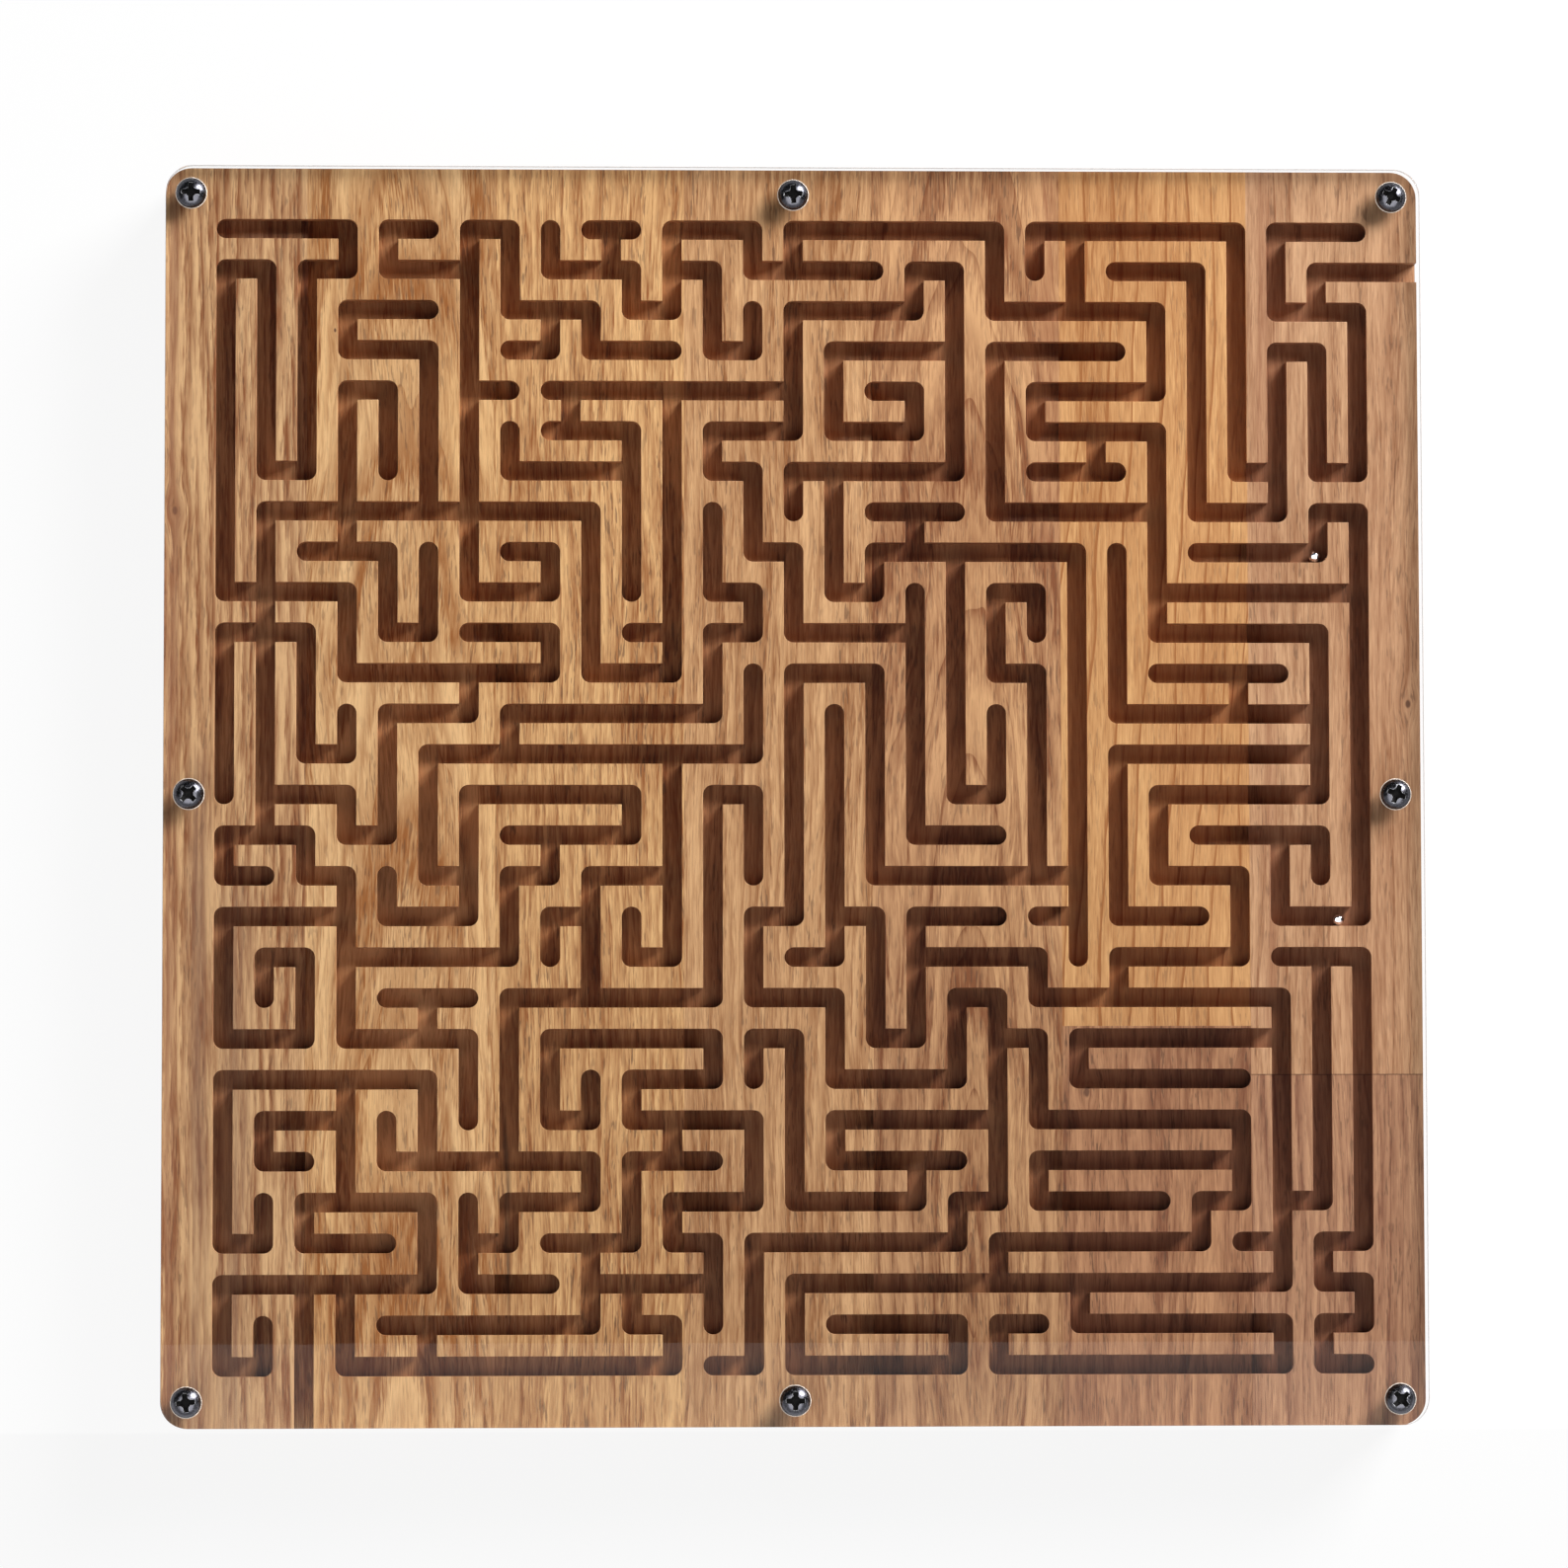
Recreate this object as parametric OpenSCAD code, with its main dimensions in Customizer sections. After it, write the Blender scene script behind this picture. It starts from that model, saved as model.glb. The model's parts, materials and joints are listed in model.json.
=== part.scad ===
// Ball maze: an oak panel glued up from staves, with channels milled into its face,
// a clear cover screwed over them and two steel balls that roll underneath it.
// The panel lies on its back. The origin is the centre of the back face and +Z points
// out of the maze, so +Y is the top of the maze and +X its right side.

/* [Maze] */
// Distance between the centre lines of neighbouring channels
channel_pitch = 10; // [9.5:0.1:12]
// Width of a channel, the diameter of the cutter
channel_width = 4.8; // [4:0.1:6]
// Depth of a channel below the face of the panel
channel_depth = 4.5; // [4:0.1:8]

/* [Panel] */
// Plain wood from the outermost channel's centre line to the edge of the panel
border = 15; // [14:0.5:30]
// Thickness of the panel
panel_thickness = 18; // [16:0.5:30]
// Radius of the panel's corners
panel_corner = 6.5; // [3:0.5:8]

/* [Staves] */
// Width of each of the five whole staves; the two outer ones take what is left
stave_width = 46.5; // [38:0.5:52]
// Distance of the middle stave's centre line to the left of the panel's
stave_shift = 3.75; // [0:0.25:8]
// Height above the panel's lower edge of the butt joint in the sixth line of staves
sixth_joint = 98; // [40:1:250]
// Height above the panel's lower edge of the butt joint in the last line of staves
last_joint = 86; // [40:1:130]

/* [Cover] */
// Thickness of the clear sheet
cover_thickness = 3; // [2:0.5:6]
// How far the sheet stands past the panel when it is centred on it
cover_overhang = 0.25; // [0:0.05:1]
// Radial clearance of the screws in the sheet's holes
cover_clearance = 1.1; // [0.8:0.1:1.2]
// How far the sheet was screwed down to the right of centre
cover_right = 0.5; // [-0.5:0.05:0.5]
// How far the sheet was screwed down above centre
cover_up = 0.3; // [-0.5:0.05:0.5]

/* [Screws] */
// Distance from the panel's edges to the centres of the screws
screw_inset = 6.5; // [5.5:0.1:7]
// Diameter of the pan head
head_diameter = 7.5; // [6.8:0.1:8]
// Height of the pan head
head_height = 2.6; // [2.2:0.1:3.2]
// Radius of the dome on the head
head_dome = 5.6; // [5:0.1:8]
// Diameter of the screw's core
core_diameter = 3; // [2.4:0.1:3.6]
// Length of the screw under its head
screw_length = 13; // [9:0.5:15]
// Length of the screw's pointed tip
tip_length = 3; // [1:0.5:5]
// Diameter of the tip's blunt end
tip_diameter = 0.4; // [0.2:0.1:1]
// Radial clearance of the core in its pilot hole
pilot_clearance = 0.1; // [0.05:0.05:0.3]
// Depth of the pilot hole past the screw's tip
pilot_spare = 1; // [0.5:0.5:2]
// Length across the wings of the cross recess
recess_span = 4.4; // [3.6:0.1:5]
// Width of a wing of the recess
recess_wing = 1; // [0.7:0.1:1.3]
// Depth of the recess
recess_depth = 1.8; // [1.2:0.1:2]
// Length across the floor of the recess
recess_floor = 1.6; // [1:0.1:2.5]

/* [Balls] */
// Diameter of the steel balls
ball_diameter = 3; // [2:0.1:3.6]
// Gap between a ball and the floor and lower wall of its channel
ball_gap = 0.1; // [0.05:0.05:0.3]
// Distance of the upper ball from the right end of its channel
upper_ball_back = 0.7; // [0:0.1:25]
// Distance of the lower ball from the right end of its channel
lower_ball_back = 5.5; // [0:0.1:15]

/* [Hidden] */
$fn = 64;

// Plan of the maze, seen from the front. Each mark is a crossing of the channel grid:
// - goes on to the right, | goes on down, + goes on both ways, . goes on neither way.
plan = [
    "---|+.+||-.+-|+----|++---|+-.",
    "+|+.--||--|+|---.+||.|--|||+.",
    "|||+-.|-+|-.||+--.|----|||--|",
    "|||--||-.--.-.|+--|+--.|||+||",
    "|||+||+.---+--||-|||+--.|||||",
    "||||||||--||+-.--.||---||||||",
    "|-.|.||---||-|++--.|--.||-|-.",
    "|+-+--+--|||||.|-+.----|--.+|",
    "||--|||-|||||-||+-+--|||---.|",
    "-+-|||--.|.|-||-.||+|||+----|",
    "++||-.--||-|+.---|||.||----||",
    "|||---+-.--.||+-|||-|||--+.||",
    "||||+-.+----.|||||||||-----||",
    "||-.|+-----+-.||||||||+----||",
    ".+-|||+---||+|||||-.|||+---.|",
    "+-|-.||-+-.||||||--.||||--+||",
    "-.-||-|+.+-||.||-----||--||.|",
    "+--|--.|+||||+.+|+-.-|--.|--.",
    "|+|+---..|-.||-.|+--|.+--.-+|",
    "|.||-+.+----.--|||+|------|||",
    "--.---||+---|+||-.|+|+----|||",
    "+--+-|||||+-..|---.||----.|||",
    "|+-|||.|-.-+-||+---|-----||||",
    "|-.|-----|+-.||--+.|+----||||",
    "||+--||+-.|+-.---.+.---.+.+.|",
    "-.--.|+.-+.-|+----.+----.-|+.",
    "+-++-.--.++-||+------+----.-|",
    "||||-+---.-|.||---|+.-----|+.",
    "-..--------.-.----.-------.-."
];
last = len(plan) - 1;

// Short stems halfway between two columns, each [column, row of its upper end]
stems = [[9.5, 0], [8.5, 4], [21.5, 5]];

// The way in leaves through the right edge in this row, the way out through the lower
// edge in this column
entry_row = 1;
exit_column = 2;

// Crossing at the right end of each ball's channel, [column, row]
upper_ball_end = [27, 8];
lower_ball_end = [28, 17];

panel_size = last * channel_pitch + 2 * border;
half = panel_size / 2;
floor_height = panel_thickness - channel_depth;
cover_top = panel_thickness + cover_thickness;
cover_size = panel_size + 2 * cover_overhang;
cover_corner = panel_corner + cover_overhang;
cover_hole = core_diameter + 2 * cover_clearance;
screw_reach = half - screw_inset;
pilot_floor = cover_top - screw_length - pilot_spare;
pilot_diameter = core_diameter + 2 * pilot_clearance;

// Length by which a cutting shape passes the face that it cuts through
past = 1;

// Middle places of the screws and the turn of each cross recess in degrees
screws = [
    [-1, 1, 0], [0, 1, 3], [1, 1, -26],
    [-1, 0, 45], [1, 0, -20],
    [-1, -1, 6], [0, -1, 0], [1, -1, 41]
];

// Seams between the lines of staves, from left to right
seams = [for (k = [-2.5:2.5]) k * stave_width - stave_shift];
edges = concat([-half], seams, [half]);

// Staves: name, line from the left, lower end, upper end and tone of the oak
staves = [
    ["oak_stave_1", 0, -half, half, "#b98a58"],
    ["oak_stave_2", 1, -half, half, "#c2935c"],
    ["oak_stave_3", 2, -half, half, "#bd8f5a"],
    ["oak_stave_4", 3, -half, half, "#b78a5c"],
    ["oak_stave_5", 4, -half, half, "#b48657"],
    ["oak_stave_6_upper", 5, sixth_joint - half, half, "#c98f55"],
    ["oak_stave_6_lower", 5, -half, sixth_joint - half, "#a97c54"],
    ["oak_stave_7_upper", 6, last_joint - half, half, "#bb8a60"],
    ["oak_stave_7_lower", 6, -half, last_joint - half, "#ab7f58"]
];

// Place on the panel of a crossing of the grid
function column_x(c) = (c - last / 2) * channel_pitch;
function row_y(r) = (last / 2 - r) * channel_pitch;

// What the plan says at one crossing
function goes_right(c, r) = c >= 0 && (plan[r][c] == "-" || plan[r][c] == "+");
function goes_down(c, r) = r >= 0 && (plan[r][c] == "|" || plan[r][c] == "+");

// Last crossing of a straight run that starts at a crossing
function run_right(c, r) = goes_right(c, r) ? run_right(c + 1, r) : c;
function run_down(c, r) = goes_down(c, r) ? run_down(c, r + 1) : r;

// Straight channels, each [left, lower, right, upper] end of its centre line
level_runs = [
    for (r = [0:last], c = [0:last])
        if (goes_right(c, r) && !goes_right(c - 1, r))
            [column_x(c), row_y(r), column_x(run_right(c, r)), row_y(r)]
];
upright_runs = [
    for (c = [0:last], r = [0:last])
        if (goes_down(c, r) && !goes_down(c, r - 1))
            [column_x(c), row_y(run_down(c, r)), column_x(c), row_y(r)]
];
stem_runs = [
    for (s = stems) [column_x(s[0]), row_y(s[1] + 1), column_x(s[0]), row_y(s[1])]
];
entry_run = [column_x(last), row_y(entry_row), half + past, row_y(entry_row)];
exit_run = [column_x(exit_column), -half - past, column_x(exit_column), row_y(last)];
runs = concat(level_runs, upright_runs, stem_runs, [entry_run, exit_run]);

// Whether a channel reaches into the rectangle from [left, low] to [right, high]
function reaches(run, left, low, right, high) =
    run[2] + channel_width > left && run[0] - channel_width < right
    && run[3] + channel_width > low && run[1] - channel_width < high;

// Flat square with round corners, centred on the origin
module round_square(size, radius) {
    inner = size - 2 * radius;
    square([size, inner], center = true);
    square([inner, size], center = true);
    for (x = [-1, 1], y = [-1, 1])
        translate([x, y] * inner / 2)
            circle(r = radius);
}

// One straight channel as the cutter leaves it, round at both ends
module channel(run) {
    radius = channel_width / 2;
    level = run[1] == run[3];
    grow = level ? [0, radius] : [radius, 0];
    low = [run[0], run[1]];
    high = [run[2], run[3]];
    translate(low - grow)
        square(high - low + 2 * grow);
    for (end = [low, high])
        translate(end)
            circle(r = radius);
}

// Everything at the eight places of the screws, each turned by its own angle
module at_screws() {
    for (s = screws)
        translate([s[0], s[1]] * screw_reach)
            rotate(s[2])
                children();
}

// One stave of the panel with the channels and pilot holes that fall on it
module oak_stave(stave) {
    left = edges[stave[1]];
    right = edges[stave[1] + 1];
    low = stave[2];
    high = stave[3];
    color(stave[4])
        difference() {
            intersection() {
                linear_extrude(panel_thickness)
                    round_square(panel_size, panel_corner);
                translate([left, low, 0])
                    cube([right - left, high - low, panel_thickness]);
            }
            translate([0, 0, floor_height])
                linear_extrude(channel_depth + past)
                    for (run = runs)
                        if (reaches(run, left, low, right, high))
                            channel(run);
            translate([0, 0, pilot_floor])
                at_screws()
                    cylinder(d = pilot_diameter, h = panel_thickness + past - pilot_floor);
        }
}

// Clear sheet over the channels, with clearance holes for the screws
module acrylic_cover() {
    color("#e8f0f2", 0.35)
        difference() {
            translate([cover_right, cover_up, panel_thickness])
                linear_extrude(cover_thickness)
                    round_square(cover_size, cover_corner);
            translate([cover_right, cover_up, panel_thickness - past])
                at_screws()
                    cylinder(d = cover_hole, h = cover_thickness + 2 * past);
        }
}

// Cross recess of a screw head, its mouth at the origin
module cross_recess() {
    translate([0, 0, -recess_depth])
        intersection() {
            cylinder(d1 = recess_floor, d2 = recess_span, h = recess_depth);
            union() {
                translate([-recess_span / 2, -recess_wing / 2, 0])
                    cube([recess_span, recess_wing, recess_depth]);
                translate([-recess_wing / 2, -recess_span / 2, 0])
                    cube([recess_wing, recess_span, recess_depth]);
            }
        }
}

// One pan-head screw, its head standing on the origin plane
module pan_head_screw() {
    shank = screw_length - tip_length;
    difference() {
        intersection() {
            cylinder(d = head_diameter, h = head_height);
            translate([0, 0, head_height - head_dome])
                sphere(r = head_dome);
        }
        translate([0, 0, head_height])
            cross_recess();
    }
    translate([0, 0, -shank])
        cylinder(d = core_diameter, h = shank);
    translate([0, 0, -screw_length])
        cylinder(d1 = tip_diameter, d2 = core_diameter, h = tip_length);
}

module cover_screws() {
    color("#26262a")
        translate([0, 0, cover_top])
            at_screws()
                pan_head_screw();
}

// A ball on the floor of its channel, against the lower wall
module ball(end, back) {
    aside = (channel_width - ball_diameter) / 2 - ball_gap;
    height = floor_height + ball_gap + ball_diameter / 2;
    color("#d5d8dc")
        translate([column_x(end[0]) - back, row_y(end[1]) - aside, height])
            sphere(d = ball_diameter);
}

module upper_ball() {
    ball(upper_ball_end, upper_ball_back);
}

module lower_ball() {
    ball(lower_ball_end, lower_ball_back);
}

for (stave = staves)
    oak_stave(stave);
acrylic_cover();
cover_screws();
upper_ball();
lower_ball();
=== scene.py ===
"""Looks of the wooden maze board: oak staves, clear cover, screws, balls and the studio around them."""

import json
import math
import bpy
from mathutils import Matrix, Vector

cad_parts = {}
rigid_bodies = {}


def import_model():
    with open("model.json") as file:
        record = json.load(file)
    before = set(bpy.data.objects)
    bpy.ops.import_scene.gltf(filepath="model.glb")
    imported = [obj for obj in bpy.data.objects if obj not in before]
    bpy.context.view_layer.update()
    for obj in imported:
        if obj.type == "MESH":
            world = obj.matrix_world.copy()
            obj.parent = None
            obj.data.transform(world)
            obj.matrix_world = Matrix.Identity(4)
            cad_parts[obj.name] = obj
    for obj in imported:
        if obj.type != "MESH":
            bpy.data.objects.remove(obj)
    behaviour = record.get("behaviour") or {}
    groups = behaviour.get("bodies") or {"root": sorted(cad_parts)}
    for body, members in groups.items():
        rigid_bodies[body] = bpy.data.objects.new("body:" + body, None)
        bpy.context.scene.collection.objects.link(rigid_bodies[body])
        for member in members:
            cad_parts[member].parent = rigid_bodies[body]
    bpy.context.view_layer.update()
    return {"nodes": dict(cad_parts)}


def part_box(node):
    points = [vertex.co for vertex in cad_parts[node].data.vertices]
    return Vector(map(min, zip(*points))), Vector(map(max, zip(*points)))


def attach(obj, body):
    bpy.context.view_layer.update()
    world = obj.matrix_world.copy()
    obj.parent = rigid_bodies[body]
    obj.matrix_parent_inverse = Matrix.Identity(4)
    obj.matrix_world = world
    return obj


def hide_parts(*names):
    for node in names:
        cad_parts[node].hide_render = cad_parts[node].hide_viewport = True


bl_info = {
    "name": "Wooden maze board",
    "version": (1, 0, 0),
    "blender": (4, 5, 0),
    "location": "3D View > Sidebar > Maze board",
    "description": "Dresses the packed maze board with oak, clear acrylic, black screws and steel balls",
    "category": "Object",
}

import bpy
from bpy.props import FloatProperty, FloatVectorProperty, PointerProperty
from mathutils import Matrix, Vector

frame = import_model()

MM = 0.001
WOOD_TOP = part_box("oak_stave_4")[1].z
COVER_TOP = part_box("acrylic_cover")[1].z
HEAD_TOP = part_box("cover_screws")[1].z
STAVES = [name for name in frame["nodes"] if name.startswith("oak_stave")]
WHITE = (1.0, 1.0, 1.0, 1.0)

# Points and levels closer than SAME count as one.
SAME = 0.001 * MM
# Faces whose normals have a smaller product than CORNER meet at a corner, and faces that meet at less than
# ROUND degrees are shaded as one.
CORNER = 0.8
ROUND = 32


class MazeSizes(bpy.types.PropertyGroup):
    """Sizes of the dressed pieces."""

    wood_edge: FloatProperty(
        name="Wood edge", description="Rounding of the milled and sawn wood edges",
        default=0.08 * MM, unit="LENGTH", precision=5)
    cover_edge: FloatProperty(
        name="Cover edge", description="Chamfer of the clear sheet's edges",
        default=0.2 * MM, unit="LENGTH", precision=5)
    air_gap: FloatProperty(
        name="Air gap", description="Thin air between the wood and the underside of the clear sheet",
        default=0.05 * MM, unit="LENGTH", precision=5)
    head_width: FloatProperty(
        name="Head width", description="Diameter of a screw's pan head",
        default=7.5 * MM, unit="LENGTH", precision=4)
    head_dome: FloatProperty(
        name="Head dome", description="Radius of the dome on a screw's head",
        default=4.3 * MM, unit="LENGTH", precision=4)
    head_shoulder: FloatProperty(
        name="Head shoulder", description="Width of the steep shoulder between the dome and the cover",
        default=0.22 * MM, unit="LENGTH", precision=5)
    core_width: FloatProperty(
        name="Core width", description="Diameter of a screw's core",
        default=3.0 * MM, unit="LENGTH", precision=4)
    core_length: FloatProperty(
        name="Core length", description="Length of a screw under its head, without the tip",
        default=10.0 * MM, unit="LENGTH", precision=4)
    tip_length: FloatProperty(
        name="Tip length", description="Length of a screw's pointed tip",
        default=3.0 * MM, unit="LENGTH", precision=4)
    recess_span: FloatProperty(
        name="Recess span", description="Length of the cross recess at the dome, from wing to wing",
        default=4.4 * MM, unit="LENGTH", precision=4)
    recess_wing: FloatProperty(
        name="Recess wing", description="Width of a wing of the cross recess",
        default=1.4 * MM, unit="LENGTH", precision=4)
    recess_core: FloatProperty(
        name="Recess core", description="Diameter of the round core of the cross recess at the dome",
        default=2.8 * MM, unit="LENGTH", precision=4)
    recess_depth: FloatProperty(
        name="Recess depth", description="Depth of the cross recess under the top of the dome",
        default=1.8 * MM, unit="LENGTH", precision=4)
    burr_width: FloatProperty(
        name="Burr width", description="Diameter of the pale burr round a screw's head",
        default=7.8 * MM, unit="LENGTH", precision=5)
    burr_height: FloatProperty(
        name="Burr height", description="Height of the pale burr round a screw's head",
        default=0.1 * MM, unit="LENGTH", precision=5)
    screw_inset: FloatProperty(
        name="Screw inset", description="Distance of a screw from the edge of the wood",
        default=6.5 * MM, unit="LENGTH", precision=4)


class MazeColours(bpy.types.PropertyGroup):
    """Colours of the finishes."""

    pore: FloatVectorProperty(
        name="Pores", description="Colour deep in the pores of the oak",
        default=(0.10, 0.045, 0.022), subtype="COLOR", size=3, min=0, max=1)
    knot: FloatVectorProperty(
        name="Knots", description="Colour of the small knots",
        default=(0.12, 0.05, 0.025), subtype="COLOR", size=3, min=0, max=1)
    # Painted shade: this colour darkens the oak in the channels, for the shade that falls in them.
    milled: FloatVectorProperty(
        name="Milled oak", description="How much of its colour the oak keeps in the milled channels",
        default=(0.76, 0.62, 0.57), subtype="COLOR", size=3, min=0, max=1)
    screw: FloatVectorProperty(
        name="Black steel", description="Colour of the blackened screws",
        default=(0.065, 0.065, 0.075), subtype="COLOR", size=3, min=0, max=1)
    worn: FloatVectorProperty(
        name="Worn steel", description="Colour of bare steel at the edges of a screw's recess",
        default=(0.45, 0.45, 0.46), subtype="COLOR", size=3, min=0, max=1)
    # Painted highlight: the pale burr round each head stands in for the bright rim round it.
    burr: FloatVectorProperty(
        name="Burr", description="Colour of the pale burr round a screw's head",
        default=(0.27, 0.235, 0.205), subtype="COLOR", size=3, min=0, max=1)
    ball: FloatVectorProperty(
        name="Ball steel", description="Colour of the polished balls",
        default=(0.74, 0.79, 0.88), subtype="COLOR", size=3, min=0, max=1)
    floor: FloatVectorProperty(
        name="Floor", description="Colour of the pale floor",
        default=(0.90, 0.90, 0.90), subtype="COLOR", size=3, min=0, max=1)


class Nodes:
    """Adds nodes to one tree, and feeds each input with a value or a link."""

    def __init__(self, tree):
        self.tree = tree

    def feed(self, socket, value):
        if isinstance(value, bpy.types.NodeSocket):
            self.tree.links.new(value, socket)
        else:
            socket.default_value = value

    def add(self, kind, values=(), **settings):
        node = self.tree.nodes.new("ShaderNode" + kind)
        for name, value in settings.items():
            setattr(node, name, value)
        for key, value in dict(values).items():
            self.feed(node.inputs[key], value)
        return node

    def math(self, operation, *values, clamp=False):
        node = self.add("Math", enumerate(values), operation=operation, use_clamp=clamp)
        return node.outputs[0]

    def vector(self, operation, *values):
        return self.add("VectorMath", enumerate(values), operation=operation).outputs[0]

    def joined(self, x, y, z):
        return self.add("CombineXYZ", {"X": x, "Y": y, "Z": z}).outputs[0]

    def mix(self, share, first, second, way="MIX"):
        values = {0: share, 6: first, 7: second}
        return self.add("Mix", values, data_type="RGBA", blend_type=way).outputs[2]

    def times(self, first, second):
        return self.mix(1.0, first, second, "MULTIPLY")

    def grey(self, value):
        return self.joined(value, value, value)

    def step(self, value, low, high, start=0.0, end=1.0):
        values = {0: value, 1: low, 2: high, 3: start, 4: end}
        return self.add("MapRange", values, interpolation_type="SMOOTHSTEP").outputs[0]

    def noise(self, place, stretch, detail=2.0, rough=0.5):
        moved = self.vector("MULTIPLY", place, stretch)
        values = {"Vector": moved, "Scale": 1.0, "Detail": detail, "Roughness": rough}
        return self.add("TexNoise", values).outputs[0]

    def surface(self, out, values):
        self.feed(out, self.add("BsdfPrincipled", values).outputs[0])


def opaque(colour):
    """A colour with full alpha, as a node takes it."""
    return (*colour, 1.0)


def new_group(name, inputs, outputs):
    """An empty node group with its sockets, and the sockets to draw from and to feed."""
    group = bpy.data.node_groups.new(name, "ShaderNodeTree")
    kinds = {"value": "NodeSocketFloat", "colour": "NodeSocketColor"}
    for label, kind in inputs:
        group.interface.new_socket(name=label, in_out="INPUT", socket_type=kinds[kind])
    for label, kind in outputs:
        group.interface.new_socket(name=label, in_out="OUTPUT", socket_type=kinds[kind])
    given = group.nodes.new("NodeGroupInput").outputs
    made = group.nodes.new("NodeGroupOutput").inputs
    return group, given, made


def millimetres(nodes):
    """The point on the piece, in millimetres of the frame."""
    place = nodes.add("TexCoord").outputs["Object"]
    return nodes.add("VectorMath", {0: place, "Scale": 1.0 / MM}, operation="SCALE").outputs[0]


def split(nodes, place):
    """The x, y and z of a point."""
    parts = nodes.add("SeparateXYZ", {0: place}).outputs
    return parts[0], parts[1], parts[2]


# How fast each pattern of the oak changes across, along and into a stave, per millimetre.
OAK_PATTERNS = {
    "slow sway": (0.030, 0.0085, 0.030),
    "quick sway": (0.11, 0.024, 0.11),
    "uneven rings": (0.06, 0.012, 0.06),
    "fine": (2.1, 0.14, 2.1),
    "thin": (0.75, 0.030, 0.12),
    "wide": (0.28, 0.013, 0.06),
    "broad": (0.095, 0.013, 0.03),
    "blush": (0.045, 0.0065, 0.045),
    "pores": (1.9, 0.19, 1.9),
    "torn streak": (0.9, 0.02, 0.9),
}

# How far one seed moves the patterns, in millimetres across, along and into a stave, and how far it moves the
# fine grain and the streaks across.
SEED_STEPS = (53.0, 171.0, 29.0)
SEED_GRAIN = 7.0
SEED_FLOW = 41.0

# The grain: the share of the quick sway in it, how much a distance along the stave counts round a knot, how
# fast the grain straightens away from the knot, and how far the knot pushes it aside.
QUICK_SHARE = 0.22
KNOT_ALONG = 0.6
KNOT_FADE = -0.06
KNOT_PUSH = -0.85

# How uneven the rings are, in rings, how narrow the dark late wood in them is, how far the fine grain tears
# the wider streaks, in millimetres, and the darkness that the streaks lie about.
RING_UNEVEN = 1.6
LATE_WOOD = 16.0
RAGGED = 1.7
MIDDLE_TONE = 0.45

# Soft steps from one value to another, and what they turn these values into: the streaks, the blushed
# patches, the pores, the pores' strength by streak, a knot's heart, a glued butt joint and the torn parts of
# a streak.
STREAK_STEP = (0.3, 0.7, -0.5, 0.5)
BLUSH_STEP = (0.42, 0.66, 0.0, 1.0)
PORE_STEP = (0.555, 0.635, 0.0, 1.0)
PORE_STRENGTH_STEP = (-0.4, 0.4, 0.3, 1.0)
HEART_STEP = (0.55, 1.15, 0.95, 0.0)
GLUE_STEP = (0.10, 0.22, 0.75, 0.0)
TORN_STEP = (0.30, 0.62, 0.35, 1.0)

# Where the oak changes its tone, in millimetres: from the face down into a channel, up to a channel's floor,
# from the panel's edges inwards, out to the sawn edges, and from a stave's foot to its top. In a channel the
# change is painted shade, which fades towards the open ends at the panel's edges.
CHANNEL_MOUTH = (17.97, 17.85)
CHANNEL_FLOOR = (13.2, 13.35)
CHANNEL_REACH = (154.8, 148.0)
SAWN_EDGE = (154.86, 154.96)
FOOT_TO_TOP = (-150.0, 110.0)
# A streak fades from this far inside its ends to this far outside, in millimetres.
STREAK_FADE = 9.0
# How deep the pores and the fine grain are in the wood's bump.
PORE_DEPTH = -0.6
GRAIN_HEIGHT = 0.6

# What the oak keeps of its colour at a glued butt joint, on the end grain and on the sawn sides. The end
# grain and the sawn sides are darker partly by their own tone and partly by painted shade, which tones down
# the low lamp's light on the board's sides.
GLUE_KEEPS = (0.35, 0.30, 0.28)
END_GRAIN_AND_SHADE_KEEPS = (0.62, 0.54, 0.48)
SAWN_SIDE_AND_SHADE_KEEPS = (0.80, 0.76, 0.72)


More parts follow.
